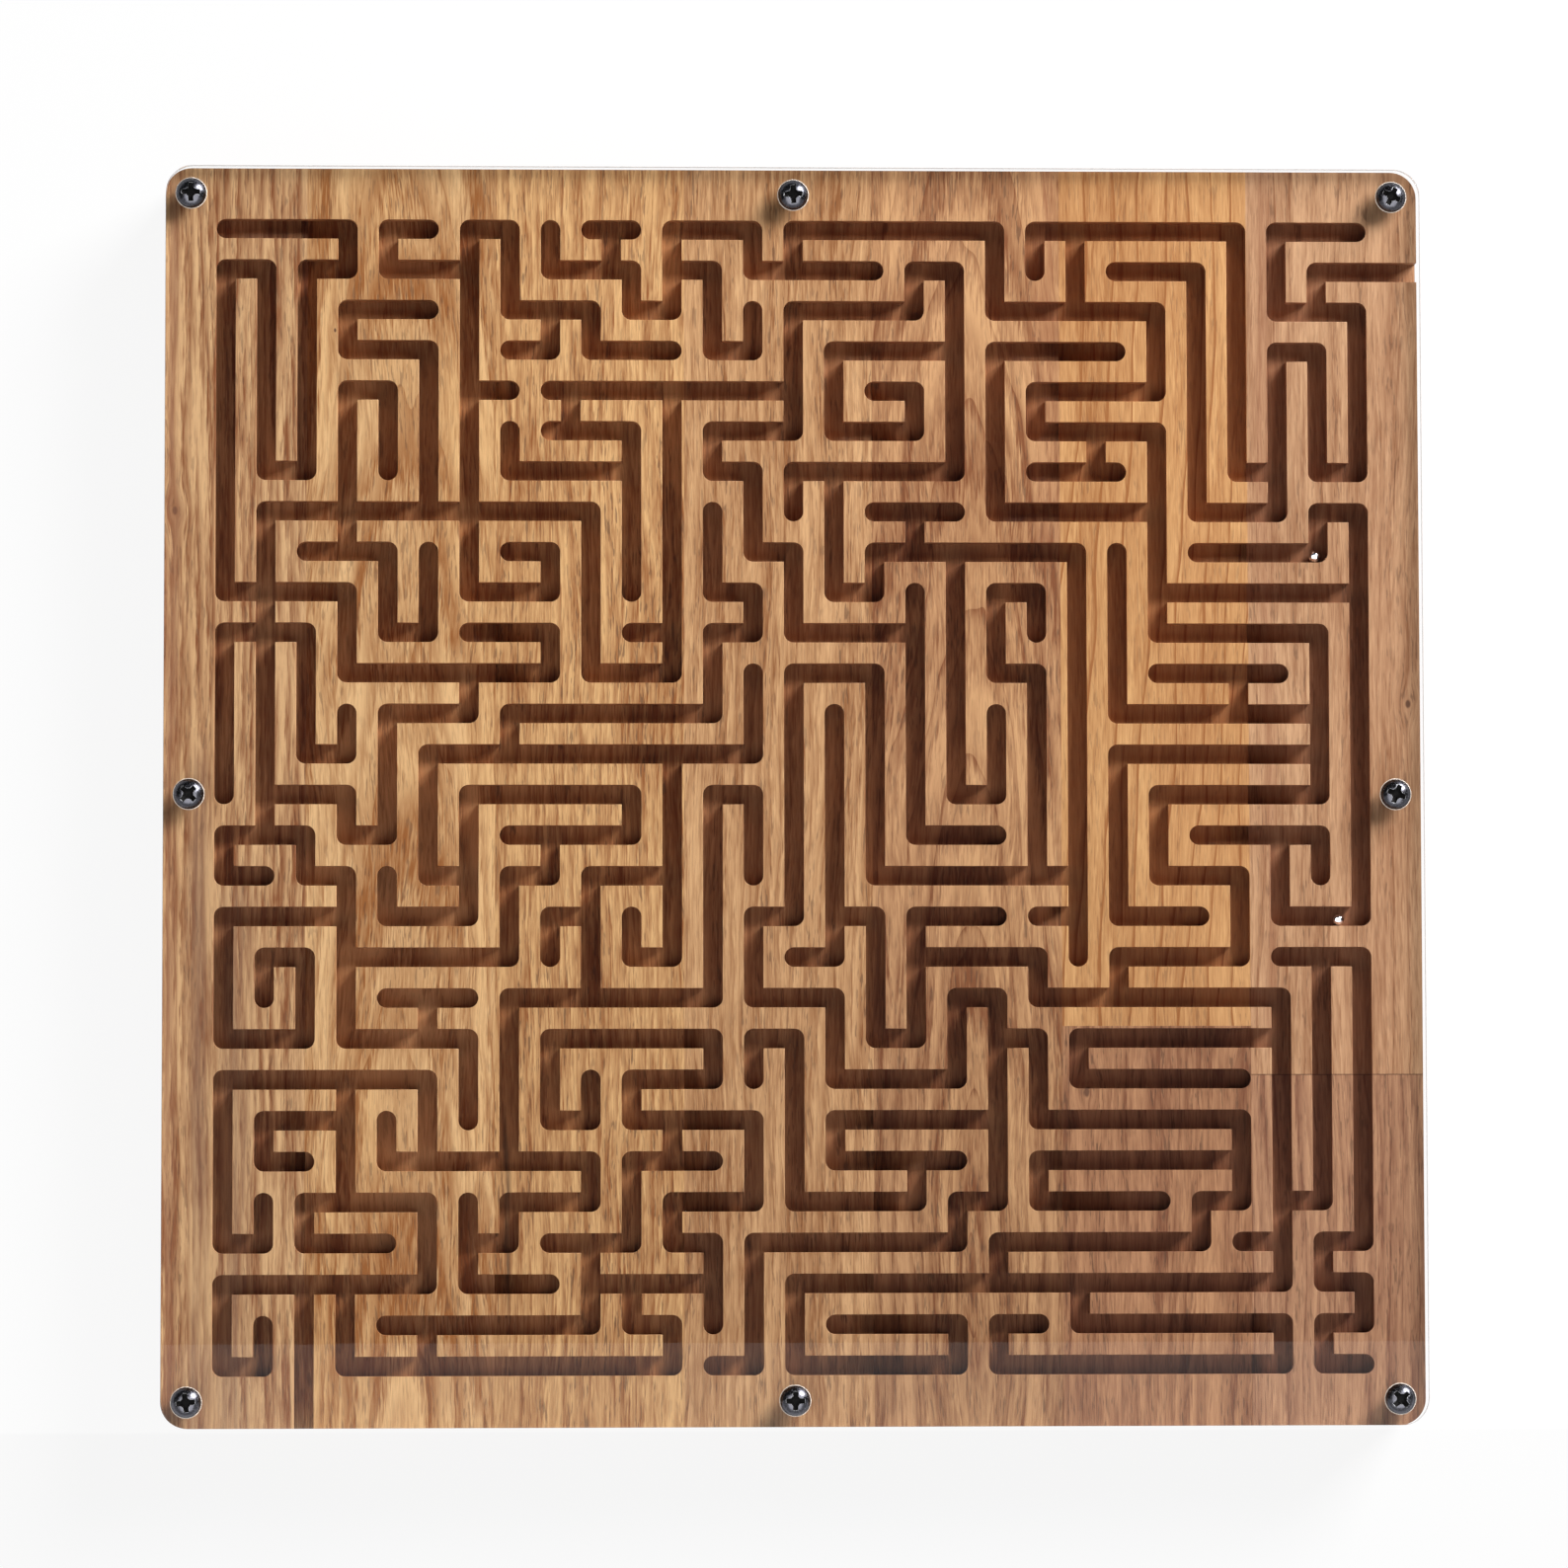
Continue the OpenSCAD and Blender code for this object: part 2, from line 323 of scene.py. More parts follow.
def oak_figure_group(pore_colour, knot_colour, channel_shade_colour):
    """Grain of one oak stave: streaks of four widths about a leaning pith, rings, pores and one knot, and
    painted shade in its channels.
    """
    inputs = [
        ("Light", "colour"), ("Dark", "colour"), ("Blush", "colour"), ("Seed", "value"),
        ("Pith X", "value"), ("Pith Depth", "value"), ("Lean", "value"), ("Wave", "value"),
        ("Fine", "value"), ("Thin", "value"), ("Wide", "value"), ("Broad", "value"),
        ("Ring", "value"), ("Ring Strength", "value"), ("Pores", "value"), ("Blush Share", "value"),
        ("Knot X", "value"), ("Knot Y", "value"), ("Knot Size", "value"), ("Foot", "value"),
        ("Joint", "value"),
    ]
    outputs = [("Colour", "colour"), ("Across", "value"), ("Height", "value")]
    group, given, made = new_group("oak figure", inputs, outputs)
    nodes = Nodes(group)
    place = millimetres(nodes)
    x, y, z = split(nodes, place)
    seed = given["Seed"]
    away = nodes.joined(*[nodes.math("MULTIPLY", seed, far) for far in SEED_STEPS])
    seeded = nodes.vector("ADD", place, away)

    # The grain sways along the stave.
    slow = nodes.math("SUBTRACT", nodes.noise(seeded, OAK_PATTERNS["slow sway"]), 0.5)
    quick = nodes.math("SUBTRACT", nodes.noise(seeded, OAK_PATTERNS["quick sway"]), 0.5)
    sway = nodes.math("MULTIPLY_ADD", quick, QUICK_SHARE, slow)
    swayed = nodes.math("MULTIPLY_ADD", sway, given["Wave"], x)

    # The grain runs round the knot.
    side = nodes.math("SUBTRACT", swayed, given["Knot X"])
    along = nodes.math("MULTIPLY", nodes.math("SUBTRACT", y, given["Knot Y"]), KNOT_ALONG)
    reach = nodes.math("ADD", nodes.math("MULTIPLY", side, side), nodes.math("MULTIPLY", along, along))
    size = nodes.math("MAXIMUM", given["Knot Size"], 0.01)
    far = nodes.math("DIVIDE", nodes.math("SQRT", reach), size)
    near = nodes.math("EXPONENT", nodes.math("MULTIPLY", nodes.math("MULTIPLY", far, far), KNOT_FADE))
    push = nodes.math("MULTIPLY", nodes.math("MULTIPLY", side, near), KNOT_PUSH)
    across = nodes.math("ADD", swayed, push)

    # The rings turn about the pith.
    below = nodes.math("SUBTRACT", WOOD_TOP / MM, z)
    deep = nodes.math("ADD", nodes.math("MULTIPLY_ADD", y, given["Lean"], given["Pith Depth"]), below)
    apart = nodes.math("SUBTRACT", across, given["Pith X"])
    squares = nodes.math("ADD", nodes.math("MULTIPLY", apart, apart), nodes.math("MULTIPLY", deep, deep))
    ring = nodes.math("SQRT", squares)
    uneven = nodes.noise(seeded, OAK_PATTERNS["uneven rings"])
    turns = nodes.math("DIVIDE", ring, given["Ring"])
    phase = nodes.math("FRACT", nodes.math("MULTIPLY_ADD", uneven, RING_UNEVEN, turns))
    late = nodes.math("POWER", phase, LATE_WOOD)

    # Streaks of four widths follow the rings.
    grain = nodes.joined(nodes.math("MULTIPLY_ADD", seed, SEED_GRAIN, across), y, z)
    fine = nodes.math("SUBTRACT", nodes.noise(grain, OAK_PATTERNS["fine"], rough=0.6), 0.5)
    ragged = nodes.math("MULTIPLY_ADD", fine, RAGGED, ring)
    flow = nodes.joined(nodes.math("MULTIPLY_ADD", seed, SEED_FLOW, ragged), y, z)
    thin = nodes.step(nodes.noise(flow, OAK_PATTERNS["thin"], 1.0), *STREAK_STEP)
    wide = nodes.step(nodes.noise(flow, OAK_PATTERNS["wide"], 1.0), *STREAK_STEP)
    broad = nodes.math("SUBTRACT", nodes.noise(flow, OAK_PATTERNS["broad"], 1.0), 0.5)
    dark = nodes.math("MULTIPLY_ADD", late, given["Ring Strength"], MIDDLE_TONE)
    for label, streaks in (("Fine", fine), ("Thin", thin), ("Wide", wide), ("Broad", broad)):
        dark = nodes.math("MULTIPLY_ADD", streaks, given[label], dark)
    colour = nodes.mix(nodes.math("ADD", dark, 0.0, clamp=True), given["Light"], given["Dark"])

    # Blushed patches, pores, the darker foot, the knot's heart and the butt joint lie over the streaks.
    patch = nodes.noise(seeded, OAK_PATTERNS["blush"], 3.0)
    blush = nodes.math("MULTIPLY", nodes.step(patch, *BLUSH_STEP), given["Blush Share"])
    colour = nodes.mix(blush, colour, nodes.times(colour, given["Blush"]))
    pores = nodes.step(nodes.noise(grain, OAK_PATTERNS["pores"], rough=0.55), *PORE_STEP)
    early = nodes.step(wide, *PORE_STRENGTH_STEP)
    pores = nodes.math("MULTIPLY", nodes.math("MULTIPLY", pores, early), given["Pores"], clamp=True)
    colour = nodes.mix(pores, colour, opaque(pore_colour))
    foot = nodes.step(y, *FOOT_TO_TOP, given["Foot"], 1.0)
    colour = nodes.times(colour, nodes.grey(foot))
    heart = nodes.step(far, *HEART_STEP)
    colour = nodes.mix(heart, colour, opaque(knot_colour))
    gap = nodes.math("ABSOLUTE", nodes.math("SUBTRACT", y, given["Joint"]))
    glue = nodes.step(gap, *GLUE_STEP)
    colour = nodes.mix(glue, colour, nodes.times(colour, opaque(GLUE_KEEPS)))

    # Painted shade: the oak in the channels is darkened and reddened, for the shade that falls in them.
    inside = nodes.math("MULTIPLY", nodes.step(z, *CHANNEL_MOUTH), nodes.step(z, *CHANNEL_FLOOR))
    for edge in (x, y):
        within = nodes.step(nodes.math("ABSOLUTE", edge), *CHANNEL_REACH)
        inside = nodes.math("MULTIPLY", inside, within)
    colour = nodes.mix(inside, colour, nodes.times(colour, opaque(channel_shade_colour)))
    # The end grain and the sawn sides are darker than the face, partly by their own tone and partly by
    # painted shade.
    for edge, kept in ((y, END_GRAIN_AND_SHADE_KEEPS), (x, SAWN_SIDE_AND_SHADE_KEEPS)):
        sawn = nodes.step(nodes.math("ABSOLUTE", edge), *SAWN_EDGE)
        colour = nodes.mix(sawn, colour, nodes.times(colour, opaque(kept)))

    height = nodes.math("MULTIPLY_ADD", pores, PORE_DEPTH, nodes.math("MULTIPLY", fine, GRAIN_HEIGHT))
    nodes.feed(made["Colour"], colour)
    nodes.feed(made["Across"], across)
    nodes.feed(made["Height"], height)
    return group


def oak_streak_group():
    """One long streak of another colour, which follows the grain and fades at its ends."""
    inputs = [
        ("Colour", "colour"), ("Across", "value"), ("Tint", "colour"), ("Strength", "value"),
        ("Place", "value"), ("Lean", "value"), ("Width", "value"), ("From", "value"), ("To", "value"),
    ]
    group, given, made = new_group("oak streak", inputs, [("Colour", "colour")])
    nodes = Nodes(group)
    place = millimetres(nodes)
    y = split(nodes, place)[1]
    centre = nodes.math("MULTIPLY_ADD", y, given["Lean"], given["Place"])
    off = nodes.math("DIVIDE", nodes.math("SUBTRACT", given["Across"], centre), given["Width"])
    near = nodes.math("EXPONENT", nodes.math("MULTIPLY", nodes.math("MULTIPLY", off, off), -1.0))
    start = nodes.step(nodes.math("SUBTRACT", y, given["From"]), -STREAK_FADE, STREAK_FADE)
    end = nodes.step(nodes.math("SUBTRACT", given["To"], y), -STREAK_FADE, STREAK_FADE)
    torn = nodes.step(nodes.noise(place, OAK_PATTERNS["torn streak"], 3.0), *TORN_STEP)
    share = nodes.math("MULTIPLY", near, start)
    share = nodes.math("MULTIPLY", share, nodes.math("MULTIPLY", end, torn))
    share = nodes.math("MULTIPLY", share, given["Strength"], clamp=True)
    nodes.feed(made["Colour"], nodes.mix(share, given["Colour"], given["Tint"]))
    return group


# A stave without a knot, or without a butt joint that shows as a line, has it outside the panel.
OUTSIDE = 900.0
NO_KNOT = (0.0, OUTSIDE, 0.1)
BUTT_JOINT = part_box("oak_stave_7_upper")[0].y / MM

# What each stave's face shows, in millimetres and linear colours: its light and dark streaks, the blush
# of its patches, the pith that its rings turn about, its waves, how strong its fine, thin, wide and broad
# streaks are, the width and strength of its rings, its pores, one knot as x, y and size, how much of its
# colour is left at its foot, and where a butt joint shows.
OAK_LOOKS = {
    "oak_stave_1": dict(
        light=(0.700, 0.427, 0.210), dark=(0.25, 0.083, 0.026), blush=(0.92, 0.85, 0.82), seed=1.0,
        pith=(-230, 30), lean=0.02, wave=3, streaks=(1.43, 0.70, 0.36, 0.16), ring=4.2, rings=0.25,
        pores=0.46, blushed=0.5, knot=(-152.6, 70.0, 0.7), foot=0.95),
    "oak_stave_2": dict(
        light=(0.770, 0.476, 0.227), dark=(0.31, 0.108, 0.025), blush=(1.0, 0.93, 0.80), seed=2.0,
        pith=(-96, 22), lean=0.06, wave=12, streaks=(1.43, 0.48, 0.51, 0.55), ring=4.6, rings=0.3,
        pores=0.46, blushed=0.5, knot=(-113.4, 114.8, 0.35), foot=0.95),
    "oak_stave_3": dict(
        light=(0.760, 0.447, 0.195), dark=(0.29, 0.094, 0.022), blush=(0.93, 0.88, 0.85), seed=3.0,
        pith=(30, 35), lean=-0.02, wave=7, streaks=(1.66, 0.48, 0.22, 0.51), ring=3.6, rings=0.3,
        pores=0.60, blushed=0.4, knot=NO_KNOT, foot=0.85),
    "oak_stave_4": dict(
        light=(0.690, 0.398, 0.190), dark=(0.28, 0.105, 0.032), blush=(0.92, 0.90, 0.92), seed=4.0,
        pith=(90, 50), lean=0.03, wave=7, streaks=(1.43, 0.41, 0.24, 0.66), ring=3.4, rings=0.35,
        pores=0.53, blushed=0.4, knot=NO_KNOT, foot=0.85),
    "oak_stave_5": dict(
        light=(0.650, 0.358, 0.166), dark=(0.23, 0.075, 0.024), blush=(0.88, 0.84, 0.88), seed=5.0,
        pith=(43, 12), lean=0.10, wave=10, streaks=(1.51, 0.46, 0.49, 0.85), ring=4.0, rings=0.45,
        pores=0.53, blushed=0.5, knot=NO_KNOT, foot=0.76),
    "oak_stave_6_upper": dict(
        light=(0.735, 0.412, 0.171), dark=(0.34, 0.125, 0.033), blush=(0.95, 0.88, 0.86), seed=6.0,
        pith=(20, 60), lean=-0.05, wave=5, streaks=(1.15, 0.20, 0.15, 0.75), ring=5.2, rings=1.15,
        pores=0.30, blushed=0.4, knot=NO_KNOT, foot=0.84),
    "oak_stave_6_lower": dict(
        light=(0.465, 0.236, 0.114), dark=(0.165, 0.054, 0.022), blush=(0.90, 0.86, 0.92), seed=7.0,
        pith=(140, 40), lean=0.05, wave=8, streaks=(1.27, 0.38, 0.40, 0.60), ring=3.2, rings=0.3,
        pores=0.68, blushed=0.5, knot=(72.4, -73.2, 0.9), foot=1.0),
    "oak_stave_7_upper": dict(
        light=(0.590, 0.339, 0.182), dark=(0.255, 0.101, 0.040), blush=(0.92, 0.86, 0.88), seed=8.0,
        pith=(220, 40), lean=0.03, wave=5, streaks=(1.27, 0.31, 0.30, 0.56), ring=3.4, rings=0.35,
        pores=0.46, blushed=0.4, knot=(152.6, 22.5, 0.7), foot=0.97,
        joint=BUTT_JOINT),
    "oak_stave_7_lower": dict(
        light=(0.578, 0.310, 0.166), dark=(0.215, 0.080, 0.040), blush=(0.95, 0.90, 0.92), seed=9.0,
        pith=(60, 30), lean=0.25, wave=4, streaks=(1.08, 0.40, 0.39, 0.39), ring=3.6, rings=0.5,
        pores=0.53, blushed=0.3, knot=NO_KNOT, foot=0.84,
        joint=BUTT_JOINT),
}

# Streaks that stand out on a stave: place at y = 0, lean, width, from y, to y, strength and tint.
OAK_STREAKS = {
    "oak_stave_1": [
        (-153.0, 0.0, 1.6, -160, 170, 0.7, (0.25, 0.10, 0.05)),
        (-136.0, 0.01, 4.0, -170, -20, 0.6, (0.25, 0.13, 0.075)),
        (-146.0, 0.0, 2.5, -170, 10, 0.6, (0.24, 0.125, 0.075)),
    ],
    "oak_stave_3": [
        (-71.2, 0.004, 0.55, -125, -80, 0.9, (0.10, 0.045, 0.02)),
    ],
    "oak_stave_5": [
        (63.0, 0.0, 3.0, 60, 170, 0.5, (0.38, 0.155, 0.07)),
    ],
    "oak_stave_7_upper": [
        (117.0, 0.0, 1.8, -60, 170, 0.5, (0.33, 0.14, 0.07)),
    ],
}


def clear_selection():
    """Nothing is selected or active, in object mode."""
    if bpy.context.object and bpy.context.object.mode != "OBJECT":
        bpy.ops.object.mode_set(mode="OBJECT")
    bpy.ops.object.select_all(action="DESELECT")
    bpy.context.view_layer.objects.active = None


def take(piece):
    """Only this piece is selected and active."""
    clear_selection()
    piece.select_set(True)
    bpy.context.view_layer.objects.active = piece


def select_corners(piece, wanted):
    """In edit mode, selects the edges where two faces meet at a corner and whose ends pass the test."""
    bpy.ops.object.mode_set(mode="EDIT")
    bpy.ops.mesh.select_mode(type="EDGE")
    bpy.ops.mesh.select_all(action="DESELECT")
    bpy.ops.object.mode_set(mode="OBJECT")
    mesh = piece.data
    sides = {}
    for face in mesh.polygons:
        for key in face.edge_keys:
            sides.setdefault(key, []).append(face.normal)
    for edge in mesh.edges:
        normals = sides[edge.key]
        corner = len(normals) == 2 and normals[0].dot(normals[1]) < CORNER
        edge.select = corner and wanted(*(mesh.vertices[index].co for index in edge.vertices))
    bpy.ops.object.mode_set(mode="EDIT")


def merge(piece):
    """Points that lie together become one, and everything is left selected."""
    take(piece)
    bpy.ops.object.mode_set(mode="EDIT")
    bpy.ops.mesh.select_all(action="SELECT")
    bpy.ops.mesh.remove_doubles(threshold=SAME)
    bpy.ops.object.mode_set(mode="OBJECT")


def solid_copy(node, name):
    """A copy of a node with its triangles merged into flat faces, ready for work on its edges."""
    piece = bpy.data.objects.new(name, frame["nodes"][node].data.copy())
    bpy.context.scene.collection.objects.link(piece)
    piece.data.name = name
    piece.data.materials.clear()
    merge(piece)
    bpy.ops.object.mode_set(mode="EDIT")
    bpy.ops.mesh.dissolve_limited(angle_limit=math.radians(0.5))
    bpy.ops.object.mode_set(mode="OBJECT")
    return piece


def use(modifier):
    """Applies a modifier of the active piece."""
    bpy.ops.object.modifier_apply(modifier=modifier.name)


def smooth(piece):
    """Round faces are shaded smoothly, and flat ones stay flat up to their eased edges."""
    take(piece)
    bpy.ops.object.shade_smooth_by_angle(angle=math.radians(ROUND))
    flat = piece.modifiers.new("flat", "WEIGHTED_NORMAL")
    flat.keep_sharp = True
    use(flat)


def stand_for(piece, node, body):
    """The piece rides on a body in place of a node, which is hidden."""
    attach(piece, body)
    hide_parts(node)


def new_material(name):
    """An empty material, its nodes and the socket that its surface goes to."""
    material = bpy.data.materials.new(name)
    material.use_nodes = True
    material.node_tree.nodes.clear()
    nodes = Nodes(material.node_tree)
    out = nodes.add("OutputMaterial").inputs["Surface"]
    return material, nodes, out


def oak_material(name, figure, streak):
    """Oiled oak of one stave, with its own figure and streaks."""
    look = OAK_LOOKS[name]
    material, nodes, out = new_material(name.replace("oak_stave", "oak"))
    fine, thin, wide, broad = look["streaks"]
    pith_x, pith_depth = look["pith"]
    knot_x, knot_y, knot_size = look["knot"]
    values = {
        "Light": opaque(look["light"]), "Dark": opaque(look["dark"]), "Blush": opaque(look["blush"]),
        "Seed": look["seed"], "Pith X": pith_x, "Pith Depth": pith_depth, "Lean": look["lean"],
        "Wave": look["wave"], "Fine": fine, "Thin": thin, "Wide": wide, "Broad": broad,
        "Ring": look["ring"], "Ring Strength": look["rings"], "Pores": look["pores"],
        "Blush Share": look["blushed"], "Knot X": knot_x, "Knot Y": knot_y, "Knot Size": knot_size,
        "Foot": look["foot"], "Joint": look.get("joint", OUTSIDE),
    }
    grain = nodes.add("Group", values, node_tree=figure)
    colour = grain.outputs["Colour"]
    for place, lean, width, low, high, strength, tint in OAK_STREAKS.get(name, []):
        given = {
            "Colour": colour, "Across": grain.outputs["Across"], "Tint": opaque(tint),
            "Strength": strength, "Place": place, "Lean": lean, "Width": width, "From": low, "To": high,
        }
        colour = nodes.add("Group", given, node_tree=streak).outputs["Colour"]
    bump = nodes.add("Bump", {"Height": grain.outputs["Height"], "Strength": 0.35, "Distance": 0.1 * MM})
    rough = nodes.math("MULTIPLY_ADD", grain.outputs["Height"], -0.15, 0.55)
    nodes.surface(out, {
        "Base Color": colour, "Roughness": rough, "Specular IOR Level": 0.35, "Normal": bump.outputs[0]})
    return material


def clear_material():
    """Clear acrylic that refracts and mirrors, and lets the lamps through to the wood."""
    material, nodes, out = new_material("clear_acrylic")
    sheet = nodes.add("BsdfPrincipled", {
        "Base Color": WHITE, "Roughness": 0.0, "IOR": 1.49, "Transmission Weight": 1.0})
    through = nodes.add("BsdfTransparent", {"Color": WHITE})
    path = nodes.add("LightPath")
    passing = nodes.math("MAXIMUM", path.outputs["Is Shadow Ray"], path.outputs["Is Diffuse Ray"])
    passing = nodes.math("MAXIMUM", passing, path.outputs["Is Glossy Ray"])
    mixed = nodes.add("MixShader", {0: passing, 1: sheet.outputs[0], 2: through.outputs[0]})
    nodes.feed(out, mixed.outputs[0])
    return material


def sawn_material():
    """The sawn rim of the clear sheet: pale and part frosted, with saw marks along its height."""
    material, nodes, out = new_material("sawn_acrylic")
    place = millimetres(nodes)
    marks = nodes.noise(place, (1.2, 1.2, 0.15), 3.0, 0.6)
    tint = nodes.mix(nodes.step(marks, 0.35, 0.65), (0.62, 0.64, 0.65, 1.0), (0.80, 0.81, 0.82, 1.0))
    frost = nodes.add("BsdfPrincipled", {"Base Color": tint, "Roughness": 0.45, "IOR": 1.49})
    through = nodes.add("BsdfTransparent", {"Color": (0.96, 0.97, 0.97, 1.0)})
    mixed = nodes.add("MixShader", {0: 0.5, 1: frost.outputs[0], 2: through.outputs[0]})
    nodes.feed(out, mixed.outputs[0])
    return material


def screw_material(colour):
    """Black oxide over steel: dark, but it still mirrors, with a gloss that varies a little."""
    material, nodes, out = new_material("black_steel")
    place = millimetres(nodes)
    spots = nodes.noise(place, (1.7, 1.7, 1.7), 4.0, 0.6)
    rough = nodes.step(spots, 0.3, 0.7, 0.18, 0.30)
    pale = tuple(1.2 * part for part in colour)
    tint = nodes.mix(nodes.step(spots, 0.4, 0.7), opaque(colour), opaque(pale))
    nodes.surface(out, {"Base Color": tint, "Roughness": rough, "Metallic": 1.0})
    return material


def worn_material(colour):
    """Bare steel where the black is rubbed off, in patches."""
    material, nodes, out = new_material("worn_steel")
    place = millimetres(nodes)
    rubbed = nodes.noise(place, (2.2, 2.2, 2.2), 3.0, 0.6)
    dull = tuple(0.45 * part for part in colour)
    tint = nodes.mix(nodes.step(rubbed, 0.36, 0.54), opaque(dull), opaque(colour))
    nodes.surface(out, {"Base Color": tint, "Roughness": 0.32, "Metallic": 1.0})
    return material


def recess_shade_material():
    """Painted shade deep in a recess: near black and matt, with a little dust."""
    material, nodes, out = new_material("recess_painted_shade")
    place = millimetres(nodes)
    dust = nodes.step(nodes.noise(place, (3.1, 3.1, 3.1), 3.0, 0.6), 0.45, 0.75)
    tint = nodes.mix(dust, (0.002, 0.002, 0.002, 1.0), (0.006, 0.005, 0.005, 1.0))
    nodes.surface(out, {"Base Color": tint, "Roughness": 0.8, "Specular IOR Level": 0.05})
    return material


def rim_highlight_material(colour):
    """Painted highlight: a pale and matt burr round a screw's head, uneven in tone, for the bright rim round
    the head.
    """
    material, nodes, out = new_material("painted_rim_highlight")
    place = millimetres(nodes)
    tone = nodes.step(nodes.noise(place, (1.1, 1.1, 1.1), 3.0, 0.6), 0.35, 0.65, 0.7, 1.0)
    tint = nodes.times(opaque(colour), nodes.grey(tone))
    nodes.surface(out, {"Base Color": tint, "Roughness": 0.6, "Specular IOR Level": 0.2})
    return material


def ball_material(colour):
    """Polished bearing steel with faint rolling marks."""
    material, nodes, out = new_material("polished_steel")
    place = millimetres(nodes)
    marks = nodes.noise(place, (2.5, 2.5, 2.5), 5.0, 0.65)
    rough = nodes.step(marks, 0.35, 0.7, 0.07, 0.16)
    nodes.surface(out, {"Base Color": opaque(colour), "Roughness": rough, "Metallic": 1.0})
    return material


# A stave's sides nearer to the middle of the panel than this are glue lines.
GLUED_WITHIN = 0.15


def both_at(first, second, level):
    """Both values are at this level."""
    return abs(first - level) < SAME and abs(second - level) < SAME


class MazeStaves(bpy.types.Operator):
    """Dress the nine oak staves: edges eased where they were milled or sawn, glue lines left sharp"""

    bl_idname = "maze.dress_staves"
    bl_label = "Dress oak staves"

    def execute(self, context):
        sizes = context.scene.maze_sizes
        colours = context.scene.maze_colours
        figure = oak_figure_group(colours.pore, colours.knot, colours.milled)
        streak = oak_streak_group()
        for node in STAVES:
            piece = solid_copy(node, node + "_dressed")
            low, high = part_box(node)
            seams = [side for side in (low.x, high.x) if abs(side) < GLUED_WITHIN]
            butts = [side for side in (low.y, high.y) if abs(side) < GLUED_WITHIN]

            def milled(a, b):
                """An edge of the face or back, apart from those on a glue line."""
                level = both_at(a.z, b.z, low.z) or both_at(a.z, b.z, high.z)
                on_seam = any(both_at(a.x, b.x, seam) for seam in seams)
                on_butt = any(both_at(a.y, b.y, butt) for butt in butts)
                return level and not on_seam and not on_butt

            select_corners(piece, milled)
            bpy.ops.mesh.bevel(offset=sizes.wood_edge, segments=2, clamp_overlap=False)
            bpy.ops.object.mode_set(mode="OBJECT")
            piece.data.materials.append(oak_material(node, figure, streak))
            smooth(piece)
            stand_for(piece, node, "board")
        return {"FINISHED"}


# The sawn finish goes to the faces within RIM_BAND of the sheet's edge whose normals rise less than RIM_RISE.
# RIM_FROM, a distance from the middle, leaves out the holes halfway along the sides. The holes at the corners
# take the finish too, under the screws' heads.
RIM_BAND = 8 * MM
RIM_RISE = 0.9
RIM_FROM = 0.1525
# The place of the sawn finish on the sheet's mesh, after the clear one.
SAWN = 1


class MazeCover(bpy.types.Operator):
    """Dress the clear sheet: its rims and holes get a fine chamfer"""

    bl_idname = "maze.dress_cover"
    bl_label = "Dress clear cover"

    def execute(self, context):
        sizes = context.scene.maze_sizes
        piece = solid_copy("acrylic_cover", "acrylic_cover_dressed")
        low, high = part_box("acrylic_cover")

        def rim(a, b):
            """A level edge, round the sheet or round one of its holes."""
            return abs(a.z - b.z) < SAME

        select_corners(piece, rim)
        bpy.ops.mesh.bevel(offset=sizes.cover_edge, segments=2, clamp_overlap=False)
        bpy.ops.object.mode_set(mode="OBJECT")
        for corner in piece.data.vertices:
            if corner.co.z < low.z + sizes.cover_edge / 2:
                corner.co.z += sizes.air_gap
        piece.data.materials.append(clear_material())
        piece.data.materials.append(sawn_material())
        for face in piece.data.polygons:
            outer = max(abs(face.center.x), abs(face.center.y)) > high.x - RIM_BAND
            if outer and abs(face.normal.z) < RIM_RISE and face.center.xy.length > RIM_FROM:
                face.material_index = SAWN
        smooth(piece)
        stand_for(piece, "acrylic_cover", "board")
        return {"FINISHED"}


# Each screw's place, from -1 to 1 across and up, and the turn of its recess in degrees.
SCREW_PLACES = (
    (-1, 1, 0), (0, 1, 3), (1, 1, -26), (-1, 0, 45), (1, 0, -20), (-1, -1, 6), (0, -1, 0), (1, -1, 41),
)
# The places of a screw's other finishes on its mesh, after the black one.
WORN, RECESS, BURR_HIGHLIGHT = 1, 2, 3
# Points of the dome closer to its cut than this count as lying on it.
FINE_CUT = 0.0001 * MM
# The shoulder's two steps stand in from the head's edge by these shares of its width.
SHOULDER_UPPER = 0.48
SHOULDER_LOWER = 0.16
# Radius of the tip's point, as a share of the core's width.
TIP_RADIUS = 0.065
# Low faces further out than this share of the head's width belong to the burr, which takes the painted
# highlight.
BURR_FROM = 0.49
# A wing's cutter at its foot and at its top, as shares of the recess's span and of the wing's width, and how
# far the cutters stand out above the head.
WING_FOOT = (0.5, 0.7)
WING_TOP = (1.6, 1.08)
CUT_ABOVE = 0.4 * MM
# Radius of the recess's round core at its foot, and at its top as a share of its width at the dome.
CORE_FOOT = 0.6 * MM
CORE_TOP = 0.57
# The edges of the recess lie within this share of the head's width and this close to the dome, and are
# rounded by this much.
RECESS_WITHIN = 0.42
DOME_SLACK = 0.03 * MM
WORN_EDGE = 0.11 * MM


